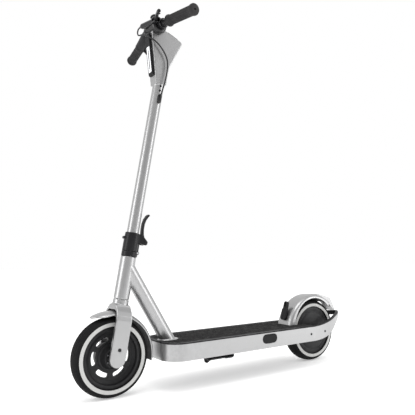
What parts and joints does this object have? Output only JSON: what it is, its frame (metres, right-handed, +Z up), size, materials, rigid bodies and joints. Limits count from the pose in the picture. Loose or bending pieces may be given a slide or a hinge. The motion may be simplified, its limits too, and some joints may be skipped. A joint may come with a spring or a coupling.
{
  "type": "electric kick scooter",
  "caption": "Folding electric kick scooter: raked stem with bent handlebar, steering fork, low deck with a looped tail, fendered wheels, rear hub motor, kickstand and folding latch.",
  "frame": {"origin": "on the ground, under the middle of the scooter's bounding box", "axes": "+Z up; the scooter drives towards -Y; the rider's left is +X"},
  "size_m": [0.433, 1.058, 1.1443],
  "materials": {
    "silver_paint": "satin metallic",
    "black_paint": "satin",
    "black_plastic": "fine grain",
    "gloss_black": "glossy",
    "mat_rubber": "ribbed",
    "grip_rubber": "matt, ribbed",
    "tyre_rubber": "matt",
    "cast_grey": "satin",
    "steel": "brushed",
    "zinc_steel": "zinc plated",
    "alloy": "satin",
    "battery_wrap": "wrapped",
    "copper_stack": "laminated",
    "lamp_lens": "clear",
    "red_lens": "ribbed",
    "display_glass": "dark glass",
    "silver_button": "satin",
    "cable_sheath": "smooth"
  },
  "bodies": {
    "chassis": {"deck_frame": "silver_paint", "deck_trim": "black_plastic", "deck_mat": "mat_rubber", "bottom_cover": "black_plastic", "deck_screws": "black_paint", "battery_pack": "battery_wrap", "controller": "alloy", "charge_socket": "cable_sheath", "down_tube": "silver_paint", "head_tube": "silver_paint", "headset_bearings": "steel", "rear_fender": "silver_paint", "fender_hook": "black_plastic", "tail_light_housing": "silver_paint", "tail_light_lens": "red_lens", "axle_brackets": "black_paint", "rear_axle": "steel", "rear_axle_nuts": "zinc_steel", "motor_stator": "copper_stack", "kickstand_bracket": "black_paint"},
    "rear_wheel": {"motor_shell": "cast_grey", "motor_covers": "cast_grey", "rear_tyre": "tyre_rubber"},
    "kickstand": {"kickstand": "black_paint"},
    "charge_flap": {"charge_flap": "black_plastic"},
    "steering": {"fork": "silver_paint", "fork_screws": "black_paint", "front_fender": "silver_paint", "front_axle": "steel", "brake_plate": "zinc_steel", "steerer_tube": "steel", "fold_base": "black_paint", "fold_pin": "steel"},
    "front_wheel": {"front_rim": "cast_grey", "front_bearings": "steel", "front_tyre": "tyre_rubber"},
    "brake_arm": {"brake_arm": "black_paint"},
    "stem": {"stem_tube": "silver_paint", "stem_clamp": "black_paint", "head_shell": "silver_paint", "display_panel": "display_glass", "headlight_bezel": "black_plastic", "headlight_lens": "lamp_lens", "handlebar": "black_paint", "bar_hood": "gloss_black", "grip_left": "grip_rubber", "grip_right": "grip_rubber", "brake_perch": "gloss_black", "brake_cable": "cable_sheath", "cable_grommet": "grip_rubber", "head_screws": "black_paint", "bell_base": "black_plastic", "bell_dome": "black_paint", "throttle_housing": "black_plastic"},
    "latch_lever": {"latch_lever": "cast_grey"},
    "brake_lever": {"brake_lever": "black_paint"},
    "throttle_lever": {"throttle_lever": "black_plastic"},
    "bell_striker": {"bell_striker": "black_plastic"},
    "power_button": {"power_button": "silver_button"}
  },
  "joints": [
    {"name": "rear_wheel_spin", "type": "hinge", "parent": "chassis", "child": "rear_wheel", "pos_m": [0, 0.371, 0.11], "axis": [1, 0, 0], "continuous": true},
    {"name": "kickstand_swing", "type": "hinge", "parent": "chassis", "child": "kickstand", "pos_m": [0.07, -0.134, 0.079], "axis": [-0.848, 0, -0.5299], "range_deg": [0, 115]},
    {"name": "flap_open", "type": "hinge", "parent": "chassis", "child": "charge_flap", "pos_m": [0.0956, 0.095, 0.1035], "axis": [0, 1, 0], "range_deg": [0, 110]},
    {"name": "steer", "type": "hinge", "parent": "chassis", "child": "steering", "pos_m": [0, -0.37945, 0.30608], "axis": [0, 0.1805, 0.9836], "range_deg": [-50, 50]},
    {"name": "front_wheel_spin", "type": "hinge", "parent": "steering", "child": "front_wheel", "pos_m": [0, -0.419, 0.11], "axis": [1, 0, 0], "continuous": true},
    {"name": "brake_arm_pull", "type": "hinge", "parent": "steering", "child": "brake_arm", "pos_m": [-0.0362, -0.40229, 0.12625], "axis": [-1, 0, 0], "range_deg": [0, 12]},
    {"name": "fold", "type": "hinge", "parent": "steering", "child": "stem", "pos_m": [0, -0.3416, 0.39877], "axis": [-1, 0, 0], "range_deg": [0, 88]},
    {"name": "latch_swing", "type": "hinge", "parent": "stem", "child": "latch_lever", "pos_m": [0, -0.31561, 0.42959], "axis": [-1, 0, 0], "range_deg": [0, 75]},
    {"name": "brake_pull", "type": "hinge", "parent": "stem", "child": "brake_lever", "pos_m": [0.05, -0.301, 1.115], "axis": [0.1444, 0, 0.9895], "range_deg": [0, 20], "stiffness_Nm_per_rad": 1, "springref_deg": -14.32},
    {"name": "throttle_push", "type": "hinge", "parent": "stem", "child": "throttle_lever", "pos_m": [-0.1124, -0.27103, 1.10204], "axis": [-0.9851, 0.0953, -0.143], "range_deg": [0, 28], "stiffness_Nm_per_rad": 0.2, "springref_deg": -17.19},
    {"name": "striker_flick", "type": "hinge", "parent": "stem", "child": "bell_striker", "pos_m": [0.0494, -0.294, 1.1295], "axis": [0, -0.2419, 0.9703], "range_deg": [-20, 20], "stiffness_Nm_per_rad": 0.02},
    {"name": "power_press", "type": "slide", "parent": "stem", "child": "power_button", "axis": [0, -0.3818, -0.9243], "range_m": [0, 0.0007], "stiffness_N_per_m": 500, "springref_m": -0.001}
  ],
  "couplings": [
    {"joint": "brake_arm_pull", "follows": "brake_pull", "ratio": 0.55}
  ]
}
